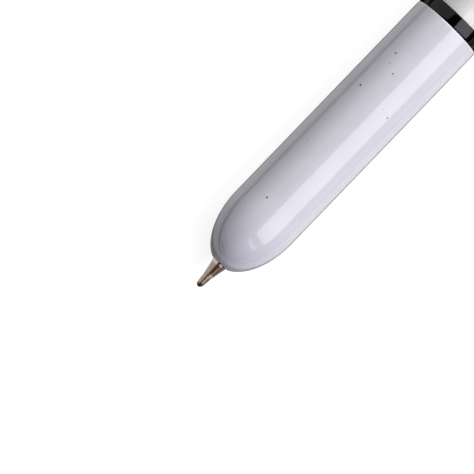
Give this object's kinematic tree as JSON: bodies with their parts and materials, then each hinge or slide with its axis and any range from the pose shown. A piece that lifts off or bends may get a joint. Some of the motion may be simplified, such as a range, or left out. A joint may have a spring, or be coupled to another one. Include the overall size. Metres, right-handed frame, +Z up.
{
  "type": "mini ballpoint pen",
  "caption": "Capsule-shaped pocket ballpoint pen, open: white barrels, dark ring, silver slider tube, push button, metal point.",
  "frame": {"origin": "middle of the pen's box on the surface that it lies on", "axes": "+X from the point to the button along the pen's axis, +Z up"},
  "size_m": [0.1232, 0.0126, 0.0125],
  "materials": {
    "white_lacquer": "gloss",
    "black_gloss": "gloss",
    "soft_black": "matte",
    "satin_silver": "satin",
    "nickel_silver": "gloss",
    "spring_steel": "satin",
    "grey_plastic": "matte",
    "carbide": "gloss",
    "brass": "satin"
  },
  "bodies": {
    "front_half": {"front_barrel": "white_lacquer", "centre_ring": "black_gloss", "soft_ring": "soft_black", "guide_sleeve": "grey_plastic", "sleeve_cap": "grey_plastic", "thrust_washer": "spring_steel"},
    "cam": {"cam_sleeve": "brass"},
    "refill": {"refill_tip": "nickel_silver", "refill_tube": "satin_silver", "refill_plug": "grey_plastic", "refill_carrier": "grey_plastic", "carrier_pin": "spring_steel", "return_spring": "spring_steel"},
    "ball": {"tip_ball": "carbide"},
    "back_half": {"slider_tube": "satin_silver", "drive_ring": "grey_plastic", "drive_pin": "spring_steel", "rear_barrel": "white_lacquer", "spring_seat": "grey_plastic", "main_spring": "spring_steel"},
    "button": {"push_button": "white_lacquer", "latch_tube": "spring_steel", "button_spring": "spring_steel"}
  },
  "joints": [
    {"name": "shut_slide", "type": "slide", "parent": "front_half", "child": "back_half", "axis": [-1, 0, 0], "range_m": [0, 0.026], "stiffness_N_per_m": 50, "springref_m": -0.02, "deforming": ["main_spring"]},
    {"name": "cam_turn", "type": "hinge", "parent": "front_half", "child": "cam", "pos_m": [-0.0302, 0, 0.00625], "axis": [-1, 0, 0], "range_deg": [0, 180]},
    {"name": "refill_slide", "type": "slide", "parent": "front_half", "child": "refill", "axis": [1, 0, 0], "range_m": [0, 0.0055], "deforming": ["return_spring"]},
    {"name": "ball_roll", "type": "hinge", "parent": "refill", "child": "ball", "pos_m": [-0.06112, 0, 0.00625], "axis": [0, 1, 0], "continuous": true},
    {"name": "button_press", "type": "slide", "parent": "back_half", "child": "button", "axis": [-1, 0, 0], "range_m": [0, 0.0025], "stiffness_N_per_m": 150, "springref_m": -0.004, "deforming": ["button_spring"]}
  ],
  "couplings": [
    {"joint": "cam_turn", "follows": "shut_slide", "rad_per_m": 120.83},
    {"joint": "refill_slide", "follows": "shut_slide", "ratio": 0.21154}
  ]
}
